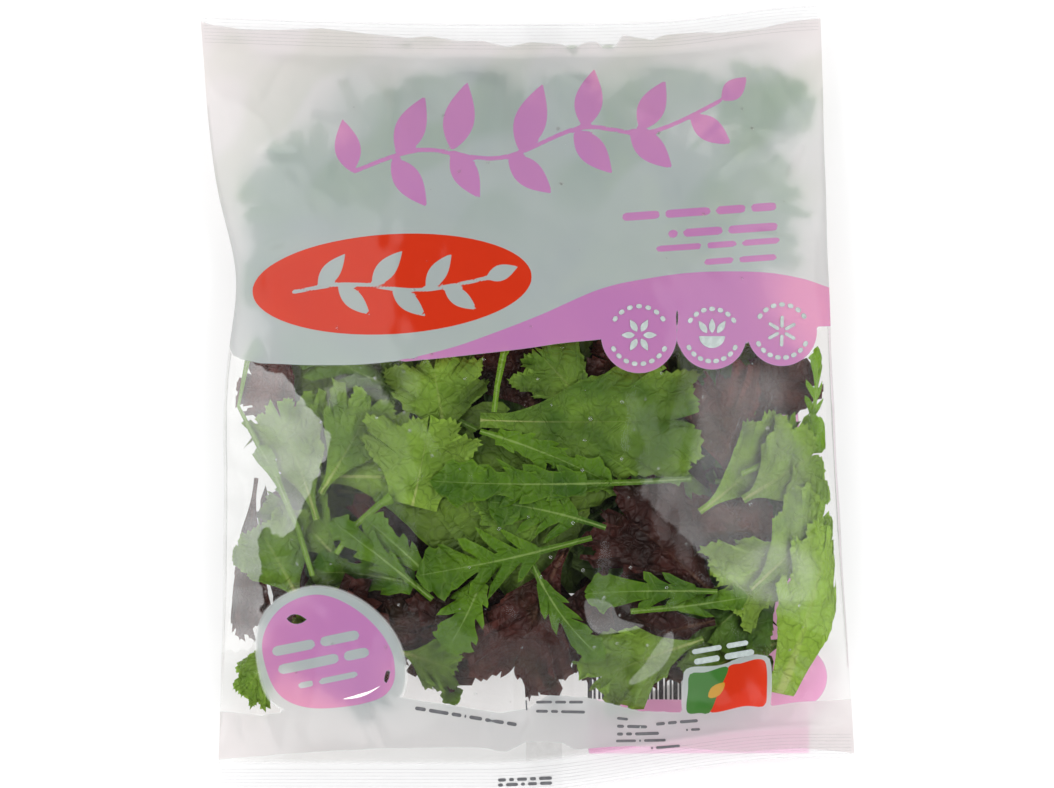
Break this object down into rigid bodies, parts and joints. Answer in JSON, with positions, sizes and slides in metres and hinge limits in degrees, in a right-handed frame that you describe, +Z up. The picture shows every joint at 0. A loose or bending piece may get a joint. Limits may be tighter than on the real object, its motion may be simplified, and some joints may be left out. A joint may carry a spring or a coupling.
{
  "type": "bag of salad leaves",
  "caption": "Sealed clear film pillow bag full of mixed green, red and rocket salad leaves, with a frosted and lilac printed front, lying on its back.",
  "frame": {"origin": "on the table, under the middle of the bag's outline", "axes": "+X to the right of the printed front, +Y towards the top seal, +Z up out of the front"},
  "size_m": [0.247, 0.2978, 0.052],
  "materials": {
    "film": "clear film with frosted white and lilac print"
  },
  "bodies": {
    "root": {"salad_bag": "film"}
  },
  "joints": []
}
